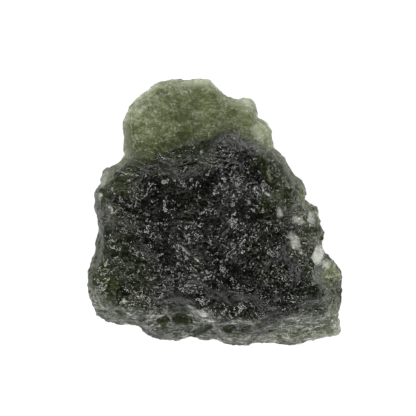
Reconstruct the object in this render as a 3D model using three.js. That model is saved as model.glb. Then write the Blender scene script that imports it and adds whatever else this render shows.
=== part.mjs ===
// A rough moldavite, the bottle-green natural glass of southern Bohemia: one stone, lying on its back.
// Millimetres, +Z up. Seen from above, +X is the stone's right and +Y runs towards its thin crown.
// The origin is on the plane that the stone rests on, under the middle of its outline.

import * as THREE from "three";
import { ImprovedNoise } from "three/addons/math/ImprovedNoise.js";
import { mergeVertices } from "three/addons/utils/BufferGeometryUtils.js";

// Driving dimensions
const WIDTH = 33.1; // along X
const LENGTH = 34.6; // along Y
const THICKNESS = 12.6; // from the resting plane to the highest point of the front

// The upright axis that outlines and bearings are read from
const AXIS = new THREE.Vector2(0, -2.5);

// Rings of vertices are counted from the middle of the front, over the rim, to the middle of the back.
const FACE_CELLS = 32; // cells along each side of the square nets that cover the front and the back
const SIDE_CELLS = 20; // rings of cells between those two nets
const RING = {
  summit: 0,
  midFace: 8,
  faceEdge: 16,
  foot: 20,
  frontShoulder: 27,
  rim: 29,
  backShoulder: 31,
  belly: 38,
  flatEdge: 45,
  backMiddle: FACE_CELLS + SIDE_CELLS,
};

// The outline of the whole stone from above, anticlockwise from the chipped right side
const RIM_POINTS = [
  [13.5, -2.9], [13.1, -1.2], [12.6, 0.7], [11.1, 1.7], [11.5, 3.0], [10.9, 4.0], [9.5, 4.9], [9.2, 6.0],
  [7.9, 7.6], [7.2, 8.5], [6.8, 10.9], [6.1, 12.0], [4.9, 12.1], [4.9, 13.9], [4.1, 14.9], [2.7, 14.6],
  [0.9, 15.1], [-0.1, 16.2], [-0.5, 17.2], [-2.6, 17.0], [-4.9, 17.2], [-8.2, 16.6], [-8.8, 15.9],
  [-10.5, 14.5], [-11.8, 12.7], [-12.2, 11.3], [-11.9, 10.4], [-12.1, 9.1], [-12.0, 7.3], [-12.6, 6.5],
  [-13.6, 5.7], [-14.7, 5.7], [-15.0, 3.9], [-15.7, 2.1], [-15.6, -0.1], [-15.3, -2.6], [-15.8, -4.9],
  [-16.4, -9.0], [-16.2, -11.4], [-15.2, -13.6], [-12.6, -14.5], [-10.1, -14.8], [-9.0, -15.8],
  [-6.8, -16.7], [-4.3, -16.4], [-2.7, -16.1], [-1.8, -16.6], [-0.5, -16.3], [1.2, -17.0], [4.3, -17.2],
  [6.1, -16.8], [9.1, -17.1], [13.5, -16.3], [15.8, -16.0], [15.4, -13.5], [15.9, -11.2], [15.8, -9.9],
  [16.1, -8.8], [15.6, -7.1], [14.8, -6.3], [14.0, -5.9], [13.4, -4.1],
];

// The edge of the thick front face: the ledge above it, where the crown is set back, and the bevel below it
const FACE_POINTS = [
  [11.9, -3.1], [11.3, -1.2], [10.8, 0.6], [9.6, 1.6], [9.8, 2.8], [9.2, 3.7], [8.3, 4.7], [7.9, 5.8],
  [6.9, 6.8], [4.9, 7.4], [3.0, 8.6], [1.4, 9.3], [-0.3, 8.6], [-1.6, 7.0], [-3.8, 6.1], [-6.1, 5.6],
  [-8.5, 6.2], [-10.7, 5.8], [-12.6, 4.6], [-14.2, 2.4], [-14.8, 0.0], [-14.5, -2.8], [-15.0, -5.2],
  [-15.6, -9.0], [-14.6, -11.6], [-11.6, -12.2], [-8.5, -12.5], [-5.2, -12.3], [-2.6, -12.5],
  [0.1, -13.0], [2.5, -13.8], [6.1, -13.7], [10.0, -13.4], [13.1, -12.9], [14.0, -10.9],
  [12.7, -8.3], [12.0, -5.6],
];

// Heights round the stone, as [bearing in degrees from +X, height]
const MID_FACE_HEIGHT = [[0, 12.0], [60, 12.2], [120, 12.6], [180, 12.0], [240, 12.4], [300, 12.3]];
const FACE_EDGE_HEIGHT = [
  [0, 9.4], [45, 9.2], [70, 10.0], [90, 10.8], [130, 10.2], [160, 9.4], [200, 9.2], [230, 9.4],
  [270, 10.2], [320, 9.0],
];
const FOOT_HEIGHT = [
  [0, 8.0], [45, 7.8], [62, 6.6], [90, 6.5], [128, 6.7], [145, 8.0], [200, 8.2], [230, 8.4], [270, 8.8],
  [320, 7.0],
];
const FRONT_SHOULDER_HEIGHT = [
  [0, 6.2], [35, 6.4], [55, 5.8], [75, 5.8], [125, 5.9], [150, 6.2], [180, 7.0], [230, 7.0], [270, 7.0],
  [300, 6.2], [320, 4.8], [340, 5.4],
];
const RIM_HEIGHT = [
  [0, 3.8], [15, 4.4], [30, 4.0], [45, 4.2], [58, 3.1], [68, 2.9], [75, 3.3], [90, 2.8], [105, 3.2],
  [118, 2.8], [130, 3.1], [145, 3.6], [160, 4.0], [175, 4.8], [200, 4.6], [225, 4.8], [250, 4.2],
  [270, 4.2], [290, 4.0], [305, 3.0], [320, 2.2], [335, 2.8],
];
const BACK_SHOULDER_HEIGHT = [
  [0, 3.0], [30, 3.1], [58, 3.6], [90, 3.4], [125, 3.6], [150, 3.6], [200, 3.0], [230, 2.6], [270, 2.4],
  [305, 2.2], [325, 2.2],
];
const BELLY_HEIGHT = [
  [0, 2.0], [50, 2.7], [90, 2.6], [125, 2.6], [180, 2.0], [215, 1.2], [270, 0.6], [320, 1.5],
];
const SUMMIT_HEIGHT = 12.4;
const FLAT_DEPTH = -0.7; // how far the belly would bulge below the resting plane, where it is worn flat

const LEDGE_RUN = 1.6; // from the edge of the face to the foot of its steep side, seen from above
const LEDGE_SHARE = 0.34; // the most of the way to the rim that this may take
const SHOULDER_INSET = 1.1; // from the rim in to where its rounding ends
const MID_FACE_SHARE = 0.55; // of the face edge's distance from the axis

// Shares of the rim's distance from the axis, as [bearing in degrees from +X, share]
const BELLY_SHARE = [[0, 0.70], [90, 0.68], [180, 0.72], [235, 0.76], [270, 0.78], [315, 0.76]];
const FLAT_SHARE = [[0, 0.40], [180, 0.40], [270, 0.60]];

// Lumps all over the stone, as [wavelength, height]
const LUMPS = [[8, 0.8], [3.4, 0.5], [1.9, 0.3]];

// Scallops all over the stone: shallow bowls, etched by acid soil, that meet in crests
const SCALLOP_SPACING = 3.2;
const SCALLOP_DEPTH = 0.8;
const SCALLOP_RADIUS = 0.8; // in spacings

const CROWN_CALM = 0.4; // the crown's lumps and scallops against those elsewhere
const CROWN_BEARINGS = [62, 128];
const CROWN_FADE = 8; // degrees past those bearings

// The rim keeps its outline: the relief there works up and down only, and outwards from this many rings on.
const RIM_HOLD = 4;

const EVENING = 0.35; // how far each vertex goes, in the end, towards the middle of its neighbours

// Hollows in the front, as [x, y, radius, depth]: crisp shell-like chips, and soft pits in the bevel
const CHIPS = [
  [10.6, -4.3, 2.4, 1.2], [14.2, -7.9, 1.9, 0.8], [13.9, -5.6, 1.1, 0.8], [7.6, 3.2, 1.6, 0.6],
  [5.5, 0.0, 2.3, 1.1], [-14.1, 4.2, 1.5, 0.7], [-9.3, 11.0, 2.0, 0.5], [5.6, 10.6, 1.3, 0.4],
  [-2.2, 12.6, 3.4, 0.5], [-10.2, -7.2, 2.6, 0.5], [0.6, -3.4, 4.2, 0.5],
];
const PITS = [
  [-7.1, -14.1, 1.3, 0.7], [-4.2, -13.8, 1.5, 0.8], [-5.1, -15.6, 1.3, 0.5], [-1.3, -15.2, 1.5, 0.8],
  [1.8, -15.2, 1.2, 0.6], [4.2, -15.4, 1.2, 0.5], [9.2, -15.2, 1.2, 0.4], [-12.2, -12.9, 1.2, 0.5],
];

// Soft hollows in the back, as [x, y, radius, height]. The glass over them is thin enough to show green.
const BACK_HOLLOWS = [
  [-8.6, -7.6, 3.4, 4.2], [-12.8, -9.6, 3.2, 2.8], [5.8, 0.2, 3.4, 4.4], [-10.6, 1.6, 3.4, 2.6],
  [1.4, 7.0, 3.8, 2.2], [9.4, -9.0, 3.4, 2.6], [10.6, -2.6, 3.0, 1.4],
];

// Crests and grooves in the front, as [x and y of one end, x and y of the other, half width, height]
const CRESTS = [
  [-5.2, -3.9, -1.6, -6.5, 1.1, 0.7], [-15.0, 2.4, -12.6, 0.9, 1.2, 0.3],
  [-12.6, 0.9, -11.0, -1.0, 1.2, 0.5], [-11.0, -1.0, -8.5, -3.0, 1.1, 0.7],
  [9.5, -3.0, 11.0, -6.5, 0.9, 0.5], [5.1, 8.5, 7.2, 5.0, 1.1, 0.5],
  [-1.8, 7.2, 2.4, 5.6, 1.0, 0.4], [2.2, -9.5, 6.4, -10.6, 1.1, 0.5],
];
const GROOVES = [
  [-8.8, -5.6, -8.3, -12.2, 1.3, -0.8], [-9.6, 5.8, -4.4, 5.4, 1.0, -0.5],
  [-3.4, 6.2, 0.4, 8.4, 0.9, -0.5], [7.8, -8.4, 11.6, -9.4, 1.1, -0.5],
  [-13.0, -6.8, -12.2, -10.6, 1.1, -0.5], [2.4, 2.0, 1.0, -1.6, 1.0, -0.4],
];

const OUTLINE_SAMPLES = 720;

// A value read by bearing from [degrees, value] pairs that go once round the stone.
function roundStone(pairs, ease) {
  const sorted = pairs.toSorted((a, b) => a[0] - b[0]);
  return (bearing) => {
    const degrees = THREE.MathUtils.euclideanModulo(THREE.MathUtils.radToDeg(bearing), 360);
    const found = sorted.findIndex(([at]) => at > degrees);
    const after = sorted[found < 0 ? 0 : found];
    const before = sorted.at((found < 0 ? 0 : found) - 1);
    const gap = THREE.MathUtils.euclideanModulo(after[0] - before[0], 360);
    const gone = THREE.MathUtils.euclideanModulo(degrees - before[0], 360);
    return THREE.MathUtils.lerp(before[1], after[1], ease(gap > 0 ? gone / gap : 0));
  };
}

const straight = (share) => share;
const smooth = (share) => THREE.MathUtils.smoothstep(share, 0, 1);

// A closed outline through [x, y] points, read as the distance from the axis at a bearing.
function outline(points) {
  const corners = points.map(([x, y]) => new THREE.Vector3(x - AXIS.x, y - AXIS.y, 0));
  const curve = new THREE.CatmullRomCurve3(corners, true, "centripetal");
  const pairs = curve.getPoints(OUTLINE_SAMPLES).slice(1).map((point) => {
    const degrees = THREE.MathUtils.radToDeg(Math.atan2(point.y, point.x));
    return [THREE.MathUtils.euclideanModulo(degrees, 360), Math.hypot(point.x, point.y)];
  });
  return roundStone(pairs, straight);
}

const rimRadius = outline(RIM_POINTS);
const faceRadius = outline(FACE_POINTS);
const bellyShare = roundStone(BELLY_SHARE, smooth);
const flatShare = roundStone(FLAT_SHARE, smooth);

const midFaceRadius = (bearing) => MID_FACE_SHARE * faceRadius(bearing);
const backShoulderRadius = (bearing) => rimRadius(bearing) - SHOULDER_INSET;
const bellyRadius = (bearing) => bellyShare(bearing) * rimRadius(bearing);
const flatRadius = (bearing) => flatShare(bearing) * rimRadius(bearing);

function footRadius(bearing) {
  const room = rimRadius(bearing) - faceRadius(bearing);
  return faceRadius(bearing) + Math.min(LEDGE_RUN, LEDGE_SHARE * room);
}

function shoulderRadius(bearing) {
  const room = rimRadius(bearing) - footRadius(bearing);
  return rimRadius(bearing) - Math.min(SHOULDER_INSET, room / 2);
}

// The stone's form as closed levels, each with the ring of vertices that lies on it
const LEVELS = [
  { ring: RING.summit, radius: () => 0, height: () => SUMMIT_HEIGHT },
  { ring: RING.midFace, radius: midFaceRadius, height: roundStone(MID_FACE_HEIGHT, smooth) },
  { ring: RING.faceEdge, radius: faceRadius, height: roundStone(FACE_EDGE_HEIGHT, smooth) },
  { ring: RING.foot, radius: footRadius, height: roundStone(FOOT_HEIGHT, smooth) },
  { ring: RING.frontShoulder, radius: shoulderRadius, height: roundStone(FRONT_SHOULDER_HEIGHT, smooth) },
  { ring: RING.rim, radius: rimRadius, height: roundStone(RIM_HEIGHT, smooth) },
  { ring: RING.backShoulder, radius: backShoulderRadius, height: roundStone(BACK_SHOULDER_HEIGHT, smooth) },
  { ring: RING.belly, radius: bellyRadius, height: roundStone(BELLY_HEIGHT, smooth) },
  { ring: RING.flatEdge, radius: flatRadius, height: () => FLAT_DEPTH },
  { ring: RING.backMiddle, radius: () => 0, height: () => FLAT_DEPTH },
];

// The ring that a point of the box net is on, from 0 in the middle of the top to the last in the bottom's.
function ringOf(net) {
  const across = Math.max(Math.abs(net.x), Math.abs(net.y)) * (FACE_CELLS / 2);
  const down = ((1 - net.z) / 2) * SIDE_CELLS;
  return net.z > -1 ? across + down : RING.backMiddle - across;
}

// The bearing of a point on a square ring, spread evenly along the square's sides.
function bearingOf(net) {
  const eighth = Math.PI / 4;
  if (net.x === 0 && net.y === 0) return 0;
  if (Math.abs(net.x) >= Math.abs(net.y)) return (net.x > 0 ? 0 : Math.PI) + (eighth * net.y) / net.x;
  return (net.y > 0 ? 2 : -2) * eighth - (eighth * net.x) / net.y;
}

// The point of the plain form at a ring and a bearing.
function formPoint(ring, bearing) {
  const profile = new THREE.CatmullRomCurve3(
    LEVELS.map(({ radius, height }) => new THREE.Vector3(radius(bearing), 0, height(bearing))),
    false,
    "centripetal",
  );
  const last = LEVELS.length - 1;
  const below = Math.min(LEVELS.findLastIndex((level) => level.ring <= ring), last - 1);
  const share = (ring - LEVELS[below].ring) / (LEVELS[below + 1].ring - LEVELS[below].ring);
  const point = profile.getPoint((below + share) / last);
  const [x, y] = [point.x * Math.cos(bearing), point.x * Math.sin(bearing)];
  return new THREE.Vector3(AXIS.x + x, AXIS.y + y, point.z);
}

// The relief
const noise = new ImprovedNoise();
const NEIGHBOURS = [-1, 0, 1].flatMap((x) => [-1, 0, 1].flatMap((y) => [-1, 0, 1].map((z) => [x, y, z])));

// 1 on the crown and 0 well away from it.
function crownShare(ring, bearing) {
  const degrees = THREE.MathUtils.radToDeg(bearing);
  const [from, to] = CROWN_BEARINGS;
  const left = THREE.MathUtils.smoothstep(degrees, from - CROWN_FADE, from);
  const right = 1 - THREE.MathUtils.smoothstep(degrees, to, to + CROWN_FADE);
  return left * right * THREE.MathUtils.smoothstep(ring, RING.faceEdge, RING.foot);
}

function lumps(point) {
  return LUMPS.reduce((total, [wavelength, height], index) => {
    const { x, y, z } = point.clone().divideScalar(wavelength);
    return total + height * noise.noise(x, y, z + index / 3);
  }, 0);
}

// The centre of the bowl in a cube of space, both counted in spacings. It is random, but always the same.
function bowlCentre(cube) {
  const { seededRandom } = THREE.MathUtils;
  const seed = (cube.x * 73856093) ^ (cube.y * 19349663) ^ (cube.z * 83492791);
  return new THREE.Vector3(seededRandom(seed), seededRandom(), seededRandom()).add(cube);
}

function scallops(point) {
  const place = point.clone().divideScalar(SCALLOP_SPACING);
  const home = place.clone().floor();
  const centres = NEIGHBOURS.map((step) => bowlCentre(new THREE.Vector3(...step).add(home)));
  const ways = centres.map((centre) => place.distanceTo(centre));
  const outward = Math.min(...ways, SCALLOP_RADIUS) / SCALLOP_RADIUS;
  return SCALLOP_DEPTH * (outward ** 2 - 1 / 2);
}

// How deep a list of hollows goes at a point, seen from above. edge is 1 where it is crisp and 2 where soft.
function hollows(point, list, edge) {
  return list.reduce((total, [x, y, radius, depth]) => {
    const inward = Math.max(1 - ((point.x - x) ** 2 + (point.y - y) ** 2) / radius ** 2, 0);
    return total + depth * inward ** edge;
  }, 0);
}

// How high a list of crests or grooves stands at a point, seen from above.
function lines(point, list) {
  const flat = new THREE.Vector3(point.x, point.y, 0);
  return list.reduce((total, [x0, y0, x1, y1, halfWidth, height]) => {
    const line = new THREE.Line3(new THREE.Vector3(x0, y0, 0), new THREE.Vector3(x1, y1, 0));
    const away = line.closestPointToPoint(flat, true, new THREE.Vector3()).distanceTo(flat);
    return total + height * Math.max(1 - away / halfWidth, 0);
  }, 0);
}

// How far the surface stands out from the plain form.
function relief(point, ring, bearing) {
  const calm = THREE.MathUtils.lerp(1, CROWN_CALM, crownShare(ring, bearing));
  const etched = calm * (lumps(point) + scallops(point));
  if (ring > RING.rim) return etched;
  const chipped = hollows(point, CHIPS, 1) + hollows(point, PITS, 2);
  return etched + lines(point, CRESTS) + lines(point, GROOVES) - chipped;
}

// A box net, closed, with its corners merged, to be laid over the stone.
function boxNet() {
  const net = new THREE.BoxGeometry(2, 2, 2, FACE_CELLS, FACE_CELLS, SIDE_CELLS);
  net.deleteAttribute("normal");
  net.deleteAttribute("uv");
  return mergeVertices(net);
}

// Turns the cut across each cell of the net to the shorter of the cell's two diagonals.
function cutAcrossShortWay(geometry) {
  const index = geometry.getIndex();
  const position = geometry.getAttribute("position");
  const corner = (i) => new THREE.Vector3().fromBufferAttribute(position, i);
  for (let at = 0; at < index.count; at += 6) {
    const [a, b, d, , c] = index.array.slice(at, at + 6);
    const isLong = corner(b).distanceTo(corner(d)) > corner(a).distanceTo(corner(c));
    if (isLong) index.array.set([a, b, c, a, c, d], at);
  }
}

// Evens the net out: each vertex goes part of the way to the middle of its neighbours.
function evenOut(geometry) {
  const index = geometry.getIndex();
  const position = geometry.getAttribute("position");
  const corner = (i) => new THREE.Vector3().fromBufferAttribute(position, i);
  const neighbours = Array.from({ length: position.count }, () => []);
  for (let at = 0; at < index.count; at += 3) {
    const [a, b, c] = index.array.slice(at, at + 3);
    neighbours[a].push(corner(b));
    neighbours[b].push(corner(c));
    neighbours[c].push(corner(a));
  }
  neighbours.forEach((around, i) => {
    const sum = around.reduce((total, place) => total.add(place), new THREE.Vector3());
    position.setXYZ(i, ...corner(i).lerp(sum.divideScalar(around.length), EVENING));
  });
}

// Stretches the stone to its driving dimensions, centres its outline, and wears its back flat.
function fitAndFlatten(geometry) {
  geometry.computeBoundingBox();
  const { min, max } = geometry.boundingBox;
  const size = max.clone().sub(min);
  geometry.translate(-(min.x + max.x) / 2, -(min.y + max.y) / 2, 0);
  geometry.scale(WIDTH / size.x, LENGTH / size.y, THICKNESS / max.z);
  const position = geometry.getAttribute("position");
  for (let i = 0; i < position.count; i += 1) {
    position.setZ(i, Math.max(position.getZ(i), 0));
  }
}

function stoneGeometry() {
  const geometry = boxNet();
  const position = geometry.getAttribute("position");
  const places = Array.from({ length: position.count }, (_, i) => {
    const net = new THREE.Vector3().fromBufferAttribute(position, i);
    return { ring: ringOf(net), bearing: bearingOf(net) };
  });
  places.forEach(({ ring, bearing }, i) => position.setXYZ(i, ...formPoint(ring, bearing)));
  geometry.computeVertexNormals();
  const normals = geometry.getAttribute("normal");
  places.forEach(({ ring, bearing }, i) => {
    const point = new THREE.Vector3().fromBufferAttribute(position, i);
    const normal = new THREE.Vector3().fromBufferAttribute(normals, i);
    const sideways = Math.min(Math.abs(ring - RING.rim) / RIM_HOLD, 1);
    normal.multiply(new THREE.Vector3(sideways, sideways, 1));
    const raised = ring > RING.rim ? hollows(point, BACK_HOLLOWS, 2) : 0;
    point.addScaledVector(normal, relief(point, ring, bearing));
    point.z += raised;
    position.setXYZ(i, ...point);
  });
  cutAcrossShortWay(geometry);
  evenOut(geometry);
  fitAndFlatten(geometry);
  geometry.computeVertexNormals();
  return geometry;
}

const GLASS = new THREE.MeshStandardMaterial({ color: 0x3c4232, roughness: 0.35, metalness: 0 });

const moldavite = new THREE.Mesh(stoneGeometry(), GLASS);
moldavite.name = "moldavite";

const stone = new THREE.Group();
stone.add(moldavite);

export default stone;
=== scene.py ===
"""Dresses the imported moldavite: fine etched relief, clear green glass and soft studio light.

The part is in metres. Sizes here are in millimetres until they reach Blender.
Seen from above, +X is the stone's right and +Y runs towards its thin crown.
"""

import math

import bpy
import numpy as np
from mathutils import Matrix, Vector, noise


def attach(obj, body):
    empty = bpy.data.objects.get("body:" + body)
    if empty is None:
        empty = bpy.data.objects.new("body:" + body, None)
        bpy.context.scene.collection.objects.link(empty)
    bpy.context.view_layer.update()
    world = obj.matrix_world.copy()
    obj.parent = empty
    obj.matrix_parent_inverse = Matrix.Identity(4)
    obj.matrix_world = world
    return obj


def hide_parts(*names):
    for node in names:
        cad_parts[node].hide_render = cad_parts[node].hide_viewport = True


MM = 0.001
NOISE_SEED = 3

# The photograph's frame, with the size of one pixel at the height of the stone's rim
PHOTO_PIXELS = 416
PIXEL = 0.13
FRAME_MIDDLE = (-0.9, 0.5)
CAMERA_HEIGHT = 600
RIM_HEIGHT = 4
SENSOR = 36
CLIP_START = 10
CLIP_END = 10000

# The paper under the stone: from its middle to its edges, and how far it is below the stone
PAPER_HALF = 600
PAPER_GAP = 0.02
PAPER_GREY = 0.3
PAPER_ROUGHNESS = 0.9
PAPER_SPECULAR = 0.2
PAPER_GLOW = 0.95

# Softboxes: bearing and elevation in degrees, size, brightness against white paper
SOFTBOXES = [
    (150, 44, 120, 6.1),
    (222, 38, 110, 4.3),
    (284, 42, 120, 5.3),
    (12, 38, 120, 4.3),
    (80, 42, 110, 4.1),
]
SOFTBOX_DISTANCE = 350

# Light from the room, low down and high up, and the heights between which it fades,
# as sines of the elevation
ROOM_GLOW_LOW = 0.55
ROOM_GLOW_HIGH = 0.03
ROOM_FADE = (0.10, 0.50)

# The glass: the light that it lets through, and how fast it takes out the rest, per metre
GLASS_IOR = 1.49
ABSORB_COLOUR = (0.355, 0.40, 0.14, 1)
ABSORB_DENSITY = 950

# The surface in each region: crown, bevel, right side, face. The first three lines say how much of it
# scatters light: all over, where the etched grain is, and where the streaks are.
VEIL = (0, 0.080, 0.030, 0)
GRAIN = (0.80, 0.60, 0.70, 0.40)
STREAKS = (0.10, 1.05, 0.15, 0.06)
ROUGHNESS = (0.30, 0.26, 0.14, 0.13)
LIGHT_TINTS = [(0.96, 0.99, 0.84), (0.98, 0.98, 0.96), (0.97, 0.99, 0.88), (0.95, 0.99, 0.78)]

# The darkest tint anywhere, and the lightest one in the large neutral patches of the face
DARK_TINT = (0.27, 0.30, 0.19, 1)
NEUTRAL_TINT = (0.97, 0.96, 0.98)
NEUTRAL_PATCH = 7
NEUTRAL_EDGE = (-0.15, 0.15)

# Roughness added where the surface is steep
STEEP_ROUGHNESS = 0.30

# How far the normal points up or down where something starts and where it is complete
STEEP_NORMAL = (0.35, 0.75)
RIM_NORMAL = (0.1, 0.6)
FRONT_NORMAL = (-0.2, 0.2)
MARK_NORMAL = (0, 0.3)
BACK_NORMAL = -0.2
FOOT_NORMAL = -0.9

# Frosting comes and goes in patches of two sizes, given as strength and wavelength, and part of it is
# missing in smooth pits and on the wall under the ledge, which runs from its top to its foot below
# the ledge's line
FROST_PATCHES = [(1.2, 3.2), (0.6, 1.4)]
LEAST_FROST = 0.3
MISSING_IN_PITS = 0.4
MISSING_ON_WALL = 0.5
WALL_TOP = (-0.2, 0.3)
WALL_FOOT = (1.6, 2.4)

# What pale marks (frosted, with painted highlights), ripples, smooth pits and patches of the crown change
# in the surface
MARK_GRAIN = 1.2
GLINT_LIGHTNESS = 1.2
RIPPLE_VEIL = 0.20
PIT_VEIL = 0.03
# Painted shade: the tint in the bevel's smooth pits is made darker
PIT_PAINTED_SHADE = 0.9
CROWN_MOTTLING = 0.5
CROWN_PATCH = 2.6

# Patterns of the material, with the span of the noise that they use, and a slight bump
GRAIN_SIZE = 0.25
STREAK_WIDTH = 0.34
STREAK_STRETCH = 5
FROST_SPAN = (0.40, 0.80)
MOTTLE_SIZE = 0.9
MOTTLE_STRETCH = 1.8
MOTTLE_SPAN = (0.43, 0.58)
BUMP_SIZE = 0.32
BUMP_DEPTH = 0.025

# The stone's mesh
VOXEL = 0.11
SMOOTHING_FACTOR = 0.5
FACET_SMOOTHING = 14
BACK_SMOOTHING = 200
MOST_TRIANGLES = 197000

# Heights of the etched relief by region: crown, bevel, right side, face
WIDE_CRESTS = (0.02, 0.06, 0.12, 0.05)
NARROW_CRESTS = (0.035, 0.09, 0.10, 0.05)
BOWLS = (0.04, 0.12, 0.34, 0.11)
STROKES = (0.02, 0.04, 0.06, 0.05)
LENGTHWISE_LUMPS = (0, 0.10, 0.05, 0)

# Sizes of the etched relief, and the level of the plain form between its lowest and highest places
WIDE_CREST_WAVELENGTH = 1.2
NARROW_CREST_WAVELENGTH = 0.6
BOWL_SPACING = 1.4
BOWL_RADIUS = 0.75
CREST_LEVEL = 0.4
BOWL_LEVEL = 0.5
STROKE_PATCH = 2.2
STROKE_LENGTH = 0.65
STROKE_WIDTH = 0.36
LENGTHWISE_WAVELENGTH = 0.36
LENGTHWISE_SQUEEZE = 0.3

# Relief under the etching: broad lumps all over, and the ragged teeth of the rim
BROAD_LUMPS = 0.14
BROAD_WAVELENGTH = 2.4
RIM_TEETH = 0.30
TOOTH_SPACING = 1.3
TOOTH_RADIUS = 0.7

# How much of the etching is left on the back and in smooth pits, and the depth where a pit is fully smooth
BACK_ETCHING = 0.4
PIT_ETCHING = 0.2
SMOOTH_DEPTH = 0.2

# The flat foot that the stone rests on is below this height, and only gets hollows
FOOT_HEIGHT = 0.05

# How far the borders of regions and marks wander, and over what distance
WANDER = 0.35
WANDER_LENGTH = 1.0

# Lines on the front that part its regions, as (x, y), each with the distances past the line between
# which the change is made: the ledge under the crown, and the top of the lower bevel
LEDGE = [
    (-12.6, 5.2), (-10.9, 6.8), (-8.5, 7.7), (-6.1, 7.2), (-3.8, 7.8), (-1.8, 8.7), (-0.4, 10.5),
    (1.4, 10.9), (3.2, 9.8), (5.1, 8.5), (6.4, 7.0), (6.6, 4.7), (9.0, 3.0),
]
LEDGE_BLEND = (0, 0.9)
BEVEL = [
    (-15.2, -9.5), (-14.2, -11.4), (-11.6, -12.2), (-8.5, -12.5), (-2.6, -12.5), (0.1, -13.0),
    (2.5, -13.8), (6.1, -13.7), (10.0, -13.4), (13.1, -12.9), (16.4, -12.0),
]
BEVEL_BLEND = (-0.3, 0.8)

# The inner edge of the chipped right side, as (y, x)
RIGHT = [
    (-13.4, 13.6), (-10.9, 13.6), (-8.5, 12.6), (-6.0, 10.4), (-3.1, 8.8), (0.0, 7.6), (2.2, 8.2),
    (7.0, 8.4),
]
RIGHT_BLEND = (-0.6, 0.8)

# Smooth hollows in the right side and the bevel: x, y, half length, half width, turn in degrees, depth
SMOOTH_PITS = [
    (14.3, -8.1, 1.70, 1.50, 0, 0.35),
    (-4.3, -13.9, 1.45, 0.60, -8, 0.55),
    (-6.8, -14.0, 0.95, 0.50, 6, 0.50),
    (-9.6, -13.8, 0.55, 0.50, 0, 0.35),
    (-7.1, -12.9, 0.40, 0.35, 0, 0.25),
    (-6.6, -14.9, 0.45, 0.35, 0, 0.25),
    (-1.6, -15.3, 1.35, 0.45, 24, 0.50),
    (-4.9, -16.0, 0.55, 0.28, 0, 0.30),
    (-3.4, -15.4, 0.45, 0.28, 0, 0.25),
    (1.7, -15.1, 0.75, 0.50, 10, 0.50),
    (3.9, -15.1, 0.60, 0.34, 0, 0.35),
    (7.2, -15.5, 0.45, 0.25, 0, 0.25),
    (8.4, -16.0, 0.45, 0.25, 0, 0.25),
    (-12.2, -13.0, 0.60, 0.40, -20, 0.30),
]

# Thin crests on the face: both ends, half width, height
FACE_CRESTS = [
    (-5.5, -3.6, -3.0, -5.4, 0.28, 0.22),
    (-3.0, -5.4, -1.4, -6.6, 0.26, 0.22),
    (-4.6, -3.9, -2.2, -5.4, 0.22, 0.14),
    (-15.0, 2.6, -12.6, 0.9, 0.35, 0.15),
    (-12.6, 0.9, -10.4, -1.4, 0.30, 0.15),
    (4.5, -3.4, 4.6, -5.0, 0.22, 0.16),
    (5.2, 2.6, 6.0, 1.2, 0.30, 0.25),
    (6.6, 2.4, 7.2, 1.2, 0.26, 0.25),
    (8.2, 0.6, 8.6, -0.6, 0.45, 0.35),
    (2.8, -10.4, 5.6, -10.6, 0.24, 0.18),
    (2.4, -9.6, 4.8, -9.8, 0.22, 0.14),
    (6.6, -6.6, 8.4, -6.0, 0.24, 0.20),
]

# Shell-like ripples under the ledge: centre, nearest and farthest radius, first and last bearing, height
RIPPLES = [
    (-4.8, 10.6, 3.3, 5.0, 215, 310, 0.15),
    (0.3, 10.8, 3.7, 5.2, 225, 300, 0.15),
    (2.0, 9.1, 0.3, 1.5, 0, 360, 0.12),
    (-11.4, 2.4, 2.6, 4.6, 50, 100, 0.10),
]
HIGHEST_RIPPLE = 0.15
RIPPLE_SPACING = 0.60
RIPPLE_FADE = 0.2
RIPPLE_FADE_DEGREES = 12
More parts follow.
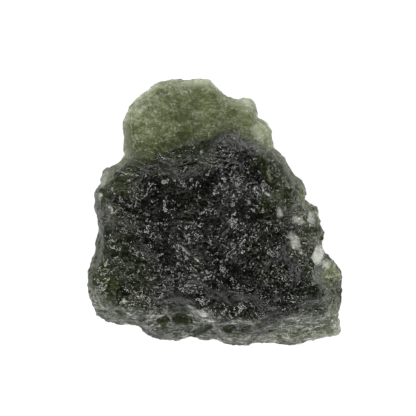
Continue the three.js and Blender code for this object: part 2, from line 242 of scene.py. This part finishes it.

# Pale chipped facets, scratches and bumps, frosted and painted lighter as highlights, as along the face's
# crests:
# x, y, half length, half width, turn in degrees, and the share of scattered light
PALE_MARKS_AND_GLINTS = [
    (8.3, -0.1, 0.75, 0.35, 100, 0.50),
    (8.9, 0.7, 0.40, 0.20, 60, 0.30),
    (10.7, -1.1, 0.90, 0.55, -30, 0.42),
    (12.5, -0.9, 1.10, 0.50, 85, 0.42),
    (11.4, 0.9, 0.50, 0.25, 100, 0.22),
    (10.3, -3.9, 1.45, 0.75, -58, 0.52),
    (11.0, -4.9, 0.60, 0.22, -50, 0.30),
    (13.4, -5.6, 1.30, 0.75, 75, 0.95),
    (14.5, -6.9, 0.80, 0.50, -40, 0.60),
    (13.6, -6.7, 0.40, 0.20, 20, 0.40),
    (15.2, -9.2, 0.75, 0.12, 35, 0.50),
    (15.1, -14.4, 0.60, 0.30, 90, 0.08),
    (7.0, 4.6, 0.60, 0.22, 130, 0.25),
    (9.3, 3.6, 0.60, 0.25, 130, 0.30),
    (-14.7, 2.1, 0.30, 0.22, 0, 0.50),
    (-13.4, 2.9, 0.25, 0.20, 0, 0.45),
    (-13.5, 0.3, 0.75, 0.18, -65, 0.35),
    (-14.0, -6.6, 0.35, 0.20, 60, 0.45),
    (-11.7, -11.4, 0.40, 0.24, -60, 0.50),
    (-3.2, -12.2, 0.55, 0.12, -30, 0.50),
    (5.0, 2.9, 0.45, 0.13, 110, 0.50),
    (5.5, 2.4, 0.40, 0.12, 115, 0.45),
    (6.2, 2.8, 0.35, 0.12, 100, 0.40),
    (6.9, 2.2, 0.45, 0.14, 120, 0.50),
    (-1.6, 7.8, 0.40, 0.12, 60, 0.40),
    (-4.0, -4.9, 1.30, 0.10, -38, 0.45),
    (-2.4, -6.2, 0.75, 0.09, -25, 0.40),
    (-1.8, -13.1, 1.80, 0.55, -5, 0.16),
    (-4.6, -15.0, 0.90, 0.20, 10, 0.16),
    (4.2, -14.2, 2.20, 0.30, -2, 0.10),
    (-9.0, 11.6, 0.65, 0.12, 75, 0.30),
    (-10.1, 11.3, 0.50, 0.14, 80, 0.30),
    (-5.2, 10.4, 0.45, 0.12, 80, 0.25),
    (-5.0, 9.5, 0.35, 0.10, 60, 0.25),
    (-0.8, 9.8, 0.28, 0.24, 0, 0.30),
    (-6.0, 15.3, 0.90, 0.09, -25, 0.22),
    (-14.4, 4.3, 1.25, 0.45, 70, 0.30),
    (5.5, 10.3, 1.40, 0.80, -60, 0.22),
    (4.3, 13.4, 1.20, 0.70, -70, 0.20),
    (-2.0, 15.9, 0.70, 0.10, 10, 0.20),
    (-3.0, 11.7, 0.45, 0.10, 20, 0.22),
    (1.2, 12.9, 0.50, 0.10, -40, 0.22),
    (1.9, 9.2, 2.00, 1.20, -25, 0.06),
    (5.8, 7.9, 1.60, 0.50, -50, 0.10),
    (14.4, -8.0, 1.60, 1.30, 0, 0.08),
]

# Painted light and shade: patches of the glass's tint made lighter or darker: x, y, half length, half
# width, turn in degrees, and how much lighter they are
LIGHT_AND_SHADE_PATCHES = [
    (-11.4, 9.6, 2.0, 1.0, 90, -0.70),
    (-7.4, 10.8, 2.3, 1.8, 80, 0.30),
    (-4.2, 12.7, 2.2, 1.2, 0, -0.35),
    (3.9, 13.3, 1.3, 0.9, 100, 0.35),
    (5.8, 10.2, 1.9, 1.1, -65, 0.45),
    (-1.6, 9.9, 1.6, 0.8, 20, 0.25),
    (-9.6, 13.0, 1.3, 0.7, 60, 0.25),
    (-2.8, 16.6, 3.4, 0.6, 0, 0.25),
    (1.8, 10.9, 1.6, 0.8, -20, -0.30),
]

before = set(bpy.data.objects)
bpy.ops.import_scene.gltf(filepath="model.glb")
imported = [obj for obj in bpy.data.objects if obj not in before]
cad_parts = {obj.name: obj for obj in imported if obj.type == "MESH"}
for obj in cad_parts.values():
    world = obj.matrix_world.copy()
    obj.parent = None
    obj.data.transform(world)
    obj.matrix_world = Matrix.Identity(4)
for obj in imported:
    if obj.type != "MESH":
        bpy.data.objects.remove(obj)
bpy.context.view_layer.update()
cad_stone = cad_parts["moldavite"]
noise.seed_set(NOISE_SEED)


def link(thing):
    bpy.context.scene.collection.objects.link(thing)
    return thing


# Regions of the surface. Each share runs from 0 outside the region to 1 inside it.


def step(value, low, high):
    """From 0 at the low value and below to 1 at the high one and above, with soft ends."""
    share = np.clip((value - low) / (high - low), 0, 1)
    return share * share * (3 - 2 * share)


def line_at(points, at):
    places, values = zip(*points)
    return np.interp(at, places, values)


def region_shares(x, y):
    """The shares of crown, bevel, right side and face, in this order everywhere."""
    crown = step(y - line_at(LEDGE, x), *LEDGE_BLEND)
    bevel = step(line_at(BEVEL, x) - y, *BEVEL_BLEND)
    right = step(x - line_at(RIGHT, y), *RIGHT_BLEND) * (1 - crown) * (1 - bevel)
    face = np.clip(1 - crown - bevel - right, 0, 1)
    return np.array([crown, bevel, right, face])


def wandered(places):
    """Places moved a little this way and that, which gives what is drawn at them a natural outline."""
    moves = [noise.noise_vector(Vector(place) / WANDER_LENGTH) for place in places]
    return places + WANDER * np.array(moves)


# Patterns of the relief


def lumps(places, wavelength):
    return np.array([noise.noise(Vector(place) / wavelength) for place in places])


def crests(places, wavelength):
    """Thin winding crests, from 0 between them to 1 along them."""
    winding = 0.45 * wavelength
    winding_wavelength = 2.2 * wavelength
    narrowness = 2.2
    sharpness = 1.5
    heights = []
    for place in places:
        here = Vector(place)
        here += winding * noise.noise_vector(here / winding_wavelength)
        heights.append(1 - min(abs(noise.noise(here / wavelength)) * narrowness, 1))
    return np.array(heights) ** sharpness


def bowls(places, spacing, radius):
    """Round pits side by side, from 0 in their middles to 1 on the crests between them."""
    nearest = np.array([noise.voronoi(Vector(place) / spacing)[0][0] for place in places])
    return np.minimum(nearest / radius, 1) ** 2


def strokes(places, patch, length, width):
    """Short strokes, from -1 to 1, that lie side by side in patches, each patch its own way."""
    patch_spread = 7.3
    heights = []
    for place in places:
        here = Vector(place)
        patch_middle = noise.voronoi(here / patch)[1][0]
        turn = 2 * math.pi * noise.noise(patch_spread * patch_middle)
        way = Vector((math.cos(turn), math.sin(turn), 0))
        along = here.dot(way)
        heights.append(noise.noise((here - along * way) / width + along * way / length))
    return np.array(heights)


def roundness(x, y, middle_x, middle_y, half_length, half_width, turn):
    """From 1 in the middle of a turned oval to 0 at its edge and beyond."""
    cos = math.cos(math.radians(turn))
    sin = math.sin(math.radians(turn))
    along = ((x - middle_x) * cos + (y - middle_y) * sin) / half_length
    across = ((y - middle_y) * cos - (x - middle_x) * sin) / half_width
    return np.clip(1 - along**2 - across**2, 0, 1)


def domes(x, y, ovals):
    """Ovals that rise steeply at their edge and are round on top."""
    heights = np.zeros_like(x)
    for *oval, height in ovals:
        heights = np.maximum(heights, height * np.sqrt(roundness(x, y, *oval)))
    return heights


def blots(x, y, ovals):
    """Soft-edged ovals, added up."""
    total = np.zeros_like(x)
    for *oval, share in ovals:
        total += share * roundness(x, y, *oval)
    return total


def thin_crests(x, y):
    heights = np.zeros_like(x)
    for x0, y0, x1, y1, half_width, height in FACE_CRESTS:
        length = math.hypot(x1 - x0, y1 - y0)
        along = np.clip(((x - x0) * (x1 - x0) + (y - y0) * (y1 - y0)) / length**2, 0, 1)
        away = np.hypot(x - x0 - along * (x1 - x0), y - y0 - along * (y1 - y0))
        heights = np.maximum(heights, height * np.clip(1 - away / half_width, 0, 1))
    return heights


def ripples(x, y):
    """Waves round a few centres, which fade at the ends of their arcs."""
    heights = np.zeros_like(x)
    for middle_x, middle_y, nearest, farthest, first, last, height in RIPPLES:
        radius = np.hypot(x - middle_x, y - middle_y)
        bearing = np.degrees(np.arctan2(y - middle_y, x - middle_x)) % 360
        share = step(radius, nearest - RIPPLE_FADE, nearest + RIPPLE_FADE)
        share *= 1 - step(radius, farthest - RIPPLE_FADE, farthest + RIPPLE_FADE)
        if last - first < 360:
            share *= step(bearing, first, first + RIPPLE_FADE_DEGREES)
            share *= 1 - step(bearing, last - RIPPLE_FADE_DEGREES, last)
        heights += share * height * np.cos(2 * math.pi * (radius - nearest) / RIPPLE_SPACING)
    return heights


# Relief, as heights over the plain form


def etching(places, shares):
    """The fine etched relief, with its own heights in each region."""
    squeezed = places * (LENGTHWISE_SQUEEZE, 1, 1)
    layers = [
        (WIDE_CRESTS, crests(places, WIDE_CREST_WAVELENGTH) - CREST_LEVEL),
        (NARROW_CRESTS, crests(places, NARROW_CREST_WAVELENGTH) - CREST_LEVEL),
        (BOWLS, bowls(places, BOWL_SPACING, BOWL_RADIUS) - BOWL_LEVEL),
        (STROKES, strokes(places, STROKE_PATCH, STROKE_LENGTH, STROKE_WIDTH)),
        (LENGTHWISE_LUMPS, lumps(squeezed, LENGTHWISE_WAVELENGTH)),
    ]
    return sum(np.dot(heights, shares) * pattern for heights, pattern in layers)


def relief(places, normals):
    x, y, _ = wandered(places).T
    upward = normals[:, 2]
    front = step(upward, *FRONT_NORMAL)
    rim = 1 - step(abs(upward), *RIM_NORMAL)
    pits = front * domes(x, y, SMOOTH_PITS)
    in_pit = np.minimum(pits / SMOOTH_DEPTH, 1)
    left = (BACK_ETCHING + (1 - BACK_ETCHING) * front) * (1 - (1 - PIT_ETCHING) * in_pit)
    height = BROAD_LUMPS * lumps(places, BROAD_WAVELENGTH)
    height += rim * RIM_TEETH * (bowls(places, TOOTH_SPACING, TOOTH_RADIUS) - BOWL_LEVEL)
    height += left * etching(places, region_shares(x, y))
    height += front * (thin_crests(x, y) + ripples(x, y)) - pits
    foot = (places[:, 2] < FOOT_HEIGHT) & (upward < FOOT_NORMAL)
    return np.where(foot, np.minimum(height - FOOT_HEIGHT, 0), height)


# The stone


def modified(mesh, add_modifiers):
    """A copy of a mesh with modifiers added and applied."""
    carrier = link(bpy.data.objects.new("carrier", mesh.copy()))
    add_modifiers(carrier)
    evaluated = carrier.evaluated_get(bpy.context.evaluated_depsgraph_get())
    made = bpy.data.meshes.new_from_object(evaluated)
    bpy.data.objects.remove(carrier)
    return made


def add_smoothing(carrier, iterations):
    smooth = carrier.modifiers.new("smooth", "SMOOTH")
    smooth.factor = SMOOTHING_FACTOR
    smooth.iterations = iterations
    return smooth


def even_out(carrier):
    remesh = carrier.modifiers.new("even", "REMESH")
    remesh.mode = "VOXEL"
    remesh.voxel_size = VOXEL * MM
    add_smoothing(carrier, FACET_SMOOTHING)


def calm_back(carrier):
    """Softens the steep steps in the back, which would leave black spots in the glass above them."""
    downward = np.flatnonzero(vectors(carrier.data, "normal")[:, 2] < BACK_NORMAL)
    carrier.vertex_groups.new(name="back").add(downward.tolist(), 1, "REPLACE")
    add_smoothing(carrier, BACK_SMOOTHING).vertex_group = "back"


def thin_out(carrier):
    decimate = carrier.modifiers.new("thin", "DECIMATE")
    decimate.ratio = min(MOST_TRIANGLES / (2 * len(carrier.data.polygons)), 1)


def vectors(mesh, name):
    values = np.empty(len(mesh.vertices) * 3, np.float32)
    mesh.vertices.foreach_get(name, values)
    return values.reshape(-1, 3).astype(float)


def stone_mesh():
    fine = modified(modified(cad_stone.data, even_out), calm_back)
    places = vectors(fine, "co") / MM
    normals = vectors(fine, "normal")
    moved = places + normals * relief(places, normals)[:, None]
    moved[:, 2] = np.maximum(moved[:, 2], 0)
    fine.vertices.foreach_set("co", (moved * MM).astype(np.float32).ravel())
    fine.update()
    mesh = modified(fine, thin_out)
    mesh.polygons.foreach_set("use_smooth", [True] * len(mesh.polygons))
    mesh.name = "etched_stone"
    store_surface(mesh)
    return mesh


# The surface, stored at each vertex for the material


def frost_share(places, shares, pits):
    """How much of its region's frosting each place has. On the crown the frosting isn't patchy."""
    crown = shares[0]
    patches = sum(strength * lumps(places, wavelength) for strength, wavelength in FROST_PATCHES)
    patchy = 1 + (1 - crown) * patches
    return (1 - MISSING_IN_PITS * pits) * np.maximum(patchy, LEAST_FROST)


def ledge_wall(x, y):
    """The share of the steep wall under the ledge."""
    below = line_at(LEDGE, x) - y
    return step(below, *WALL_TOP) * (1 - step(below, *WALL_FOOT))


def light_tints(places, shares):
    """The lightest tint at each place: its region's, or a neutral one in large patches of the face."""
    elsewhere = (5, 0, 0)
    face = shares[3]
    neutral = face * step(lumps(places + elsewhere, NEUTRAL_PATCH), *NEUTRAL_EDGE)
    tints = np.einsum("rn,rc->nc", shares, LIGHT_TINTS)
    return tints + neutral[:, None] * (np.array(NEUTRAL_TINT) - tints)


def store_surface(mesh):
    """Stores the shares of scattered light, the roughness, the painted light and shade with the crown's
    mottling, and the lightest tint.
    """
    places = vectors(mesh, "co") / MM
    upward = vectors(mesh, "normal")[:, 2]
    x, y, _ = wandered(places).T
    shares = region_shares(x, y)
    crown, bevel, _, _ = shares
    pits = np.minimum(domes(x, y, SMOOTH_PITS) / SMOOTH_DEPTH, 1)
    # Pale marks: frosted spots whose lighter tint is a painted highlight
    marks_and_glints = domes(x, y, PALE_MARKS_AND_GLINTS) * step(upward, *MARK_NORMAL)
    rippled = np.clip(ripples(x, y) / HIGHEST_RIPPLE, 0, 1) ** 2
    frost = frost_share(places, shares, pits) * (1 - MISSING_ON_WALL * ledge_wall(x, y))
    steep = 1 - step(abs(upward), *STEEP_NORMAL)
    mottled = CROWN_MOTTLING * crown * lumps(places, CROWN_PATCH)
    surface = {
        "veil": frost * np.dot(VEIL, shares) + marks_and_glints + RIPPLE_VEIL * rippled + PIT_VEIL * bevel * pits,
        "grain": frost * np.dot(GRAIN, shares) + MARK_GRAIN * marks_and_glints,
        "streaks": frost * np.dot(STREAKS, shares),
        "rough": np.dot(ROUGHNESS, shares) + STEEP_ROUGHNESS * steep,
        # Painted highlights on the pale marks, patches of painted light and shade, the crown's random
        # mottling, and painted shade in the bevel's pits
        "painted_light_and_mottling": GLINT_LIGHTNESS * marks_and_glints + blots(x, y, LIGHT_AND_SHADE_PATCHES) + mottled - PIT_PAINTED_SHADE * bevel * pits,
    }
    for name, values in surface.items():
        attribute = mesh.attributes.new(name, "FLOAT", "POINT")
        attribute.data.foreach_set("value", values.astype(np.float32))
    tints = light_tints(places, shares)
    colours = np.hstack([tints, np.ones((len(tints), 1))]).astype(np.float32)
    mesh.attributes.new("tint", "FLOAT_COLOR", "POINT").data.foreach_set("color", colours.ravel())


# Nodes of the materials. Each function gives the socket with its result.


def texture(tree, wavelength, detail, distortion, stretch=1, fineness=0.5):
    """Noise in the stone's own coordinates, drawn out along X."""
    where = tree.nodes.new("ShaderNodeTexCoord")
    squeeze = tree.nodes.new("ShaderNodeMapping")
    squeeze.inputs["Scale"].default_value = (1 / stretch, 1, 1)
    tree.links.new(where.outputs["Object"], squeeze.inputs["Vector"])
    grain = tree.nodes.new("ShaderNodeTexNoise")
    grain.inputs["Scale"].default_value = 1 / (wavelength * MM)
    grain.inputs["Detail"].default_value = detail
    grain.inputs["Roughness"].default_value = fineness
    grain.inputs["Distortion"].default_value = distortion
    tree.links.new(squeeze.outputs["Vector"], grain.inputs["Vector"])
    return grain.outputs["Fac"]


def stored(tree, name, output="Fac"):
    attribute = tree.nodes.new("ShaderNodeAttribute")
    attribute.attribute_name = name
    return attribute.outputs[output]


def ranged(tree, value, span, results=(0, 1), blend="LINEAR"):
    """A value's place in a span, from the first result to the second."""
    ramp = tree.nodes.new("ShaderNodeMapRange")
    ramp.interpolation_type = blend
    for name, limit in zip(("From Min", "From Max", "To Min", "To Max"), (*span, *results)):
        ramp.inputs[name].default_value = limit
    tree.links.new(value, ramp.inputs["Value"])
    return ramp.outputs["Result"]


def combined(tree, operation, *values):
    """Sockets and plain numbers put together by a math node."""
    math_node = tree.nodes.new("ShaderNodeMath")
    math_node.operation = operation
    for socket, value in zip(math_node.inputs, values):
        if isinstance(value, (int, float)):
            socket.default_value = value
        else:
            tree.links.new(value, socket)
    return math_node.outputs["Value"]


def frosting(tree, name, pattern):
    """The brightest parts of a pattern, as strong as the value stored under a name."""
    peaks = combined(tree, "POWER", ranged(tree, pattern, FROST_SPAN), 2)
    return combined(tree, "MULTIPLY", stored(tree, name), peaks)


def clearness(tree):
    """The share of the surface that lets light through."""
    fine = texture(tree, GRAIN_SIZE, detail=1, distortion=0.4)
    drawn_out = texture(tree, STREAK_WIDTH, detail=2, distortion=0.5, stretch=STREAK_STRETCH)
    frosted = combined(tree, "ADD", stored(tree, "veil"), frosting(tree, "grain", fine))
    frosted = combined(tree, "ADD", frosted, frosting(tree, "streaks", drawn_out))
    return combined(tree, "SUBTRACT", 1, frosted)


def mottled_and_painted_tint(tree):
    """From the dark tint to the lightest one of the place, by random clouds and the stored painted light
    and shade.
    """
    clouds = texture(tree, MOTTLE_SIZE, detail=3, distortion=0.4, stretch=MOTTLE_STRETCH, fineness=1)
    painted_light_and_mottling = combined(tree, "ADD", stored(tree, "painted_light_and_mottling"), ranged(tree, clouds, MOTTLE_SPAN))
    tint = tree.nodes.new("ShaderNodeMix")
    tint.data_type = "RGBA"
    tint.inputs["A"].default_value = DARK_TINT
    tree.links.new(stored(tree, "tint", "Color"), tint.inputs["B"])
    tree.links.new(painted_light_and_mottling, tint.inputs["Factor"])
    return tint.outputs["Result"]


def slight_bump(tree):
    bump = tree.nodes.new("ShaderNodeBump")
    bump.inputs["Distance"].default_value = BUMP_DEPTH * MM
    tree.links.new(texture(tree, BUMP_SIZE, detail=1, distortion=0.5), bump.inputs["Height"])
    return bump.outputs["Normal"]


def glass():
    material = bpy.data.materials.new("moldavite_glass")
    material.use_nodes = True
    tree = material.node_tree
    shader = tree.nodes["Principled BSDF"]
    shader.inputs["IOR"].default_value = GLASS_IOR
    tree.links.new(clearness(tree), shader.inputs["Transmission Weight"])
    tree.links.new(stored(tree, "rough"), shader.inputs["Roughness"])
    tree.links.new(mottled_and_painted_tint(tree), shader.inputs["Base Color"])
    tree.links.new(slight_bump(tree), shader.inputs["Normal"])
    absorb = tree.nodes.new("ShaderNodeVolumeAbsorption")
    absorb.inputs["Color"].default_value = ABSORB_COLOUR
    absorb.inputs["Density"].default_value = ABSORB_DENSITY
    tree.links.new(absorb.outputs["Volume"], tree.nodes["Material Output"].inputs["Volume"])
    return material


def stone():
    piece = link(bpy.data.objects.new("etched_stone", stone_mesh()))
    piece.data.materials.clear()
    piece.data.materials.append(glass())
    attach(piece, "root")
    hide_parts("moldavite")


# The studio


def paper():
    material = bpy.data.materials.new("paper")
    material.use_nodes = True
    shader = material.node_tree.nodes["Principled BSDF"]
    shader.inputs["Base Color"].default_value = (PAPER_GREY, PAPER_GREY, PAPER_GREY, 1)
    shader.inputs["Roughness"].default_value = PAPER_ROUGHNESS
    shader.inputs["Specular IOR Level"].default_value = PAPER_SPECULAR
    shader.inputs["Emission Color"].default_value = (1, 1, 1, 1)
    shader.inputs["Emission Strength"].default_value = PAPER_GLOW
    return material


def floor():
    mesh = bpy.data.meshes.new("floor")
    half = PAPER_HALF * MM
    corners = [(-half, -half, 0), (half, -half, 0), (half, half, 0), (-half, half, 0)]
    mesh.from_pydata(corners, [], [(0, 1, 2, 3)])
    mesh.materials.append(paper())
    plane = link(bpy.data.objects.new("floor", mesh))
    plane.location.z = -PAPER_GAP * MM


def softbox(bearing, elevation, size, brightness):
    light = bpy.data.lights.new("softbox", "AREA")
    light.size = size * MM
    light.energy = math.pi * (size * MM) ** 2 * brightness
    box = link(bpy.data.objects.new("softbox", light))
    across = math.cos(math.radians(elevation))
    way = Vector((
        across * math.cos(math.radians(bearing)),
        across * math.sin(math.radians(bearing)),
        math.sin(math.radians(elevation)),
    ))
    box.location = SOFTBOX_DISTANCE * MM * way
    box.rotation_euler = (-way).to_track_quat("-Z", "Y").to_euler()
    box.visible_camera = False


def room_glow():
    """A pale room: bright near the horizon and dark overhead."""
    world = bpy.context.scene.world or bpy.data.worlds.new("studio")
    bpy.context.scene.world = world
    world.use_nodes = True
    tree = world.node_tree
    where = tree.nodes.new("ShaderNodeTexCoord")
    parts = tree.nodes.new("ShaderNodeSeparateXYZ")
    tree.links.new(where.outputs["Generated"], parts.inputs["Vector"])
    glow = ranged(tree, parts.outputs["Z"], ROOM_FADE, (ROOM_GLOW_LOW, ROOM_GLOW_HIGH), "SMOOTHSTEP")
    background = tree.nodes["Background"]
    background.inputs["Color"].default_value = (1, 1, 1, 1)
    tree.links.new(glow, background.inputs["Strength"])


def lighting():
    room_glow()
    for box in SOFTBOXES:
        softbox(*box)


def camera():
    data = bpy.data.cameras.new("camera")
    data.sensor_width = SENSOR
    data.lens = SENSOR * CAMERA_HEIGHT / (PHOTO_PIXELS * PIXEL)
    data.clip_start = CLIP_START * MM
    data.clip_end = CLIP_END * MM
    eye = link(bpy.data.objects.new("camera", data))
    eye.location = (FRAME_MIDDLE[0] * MM, FRAME_MIDDLE[1] * MM, (CAMERA_HEIGHT + RIM_HEIGHT) * MM)
    bpy.context.scene.camera = eye
    bpy.context.scene.view_settings.view_transform = "Standard"


stone()
floor()
lighting()
camera()
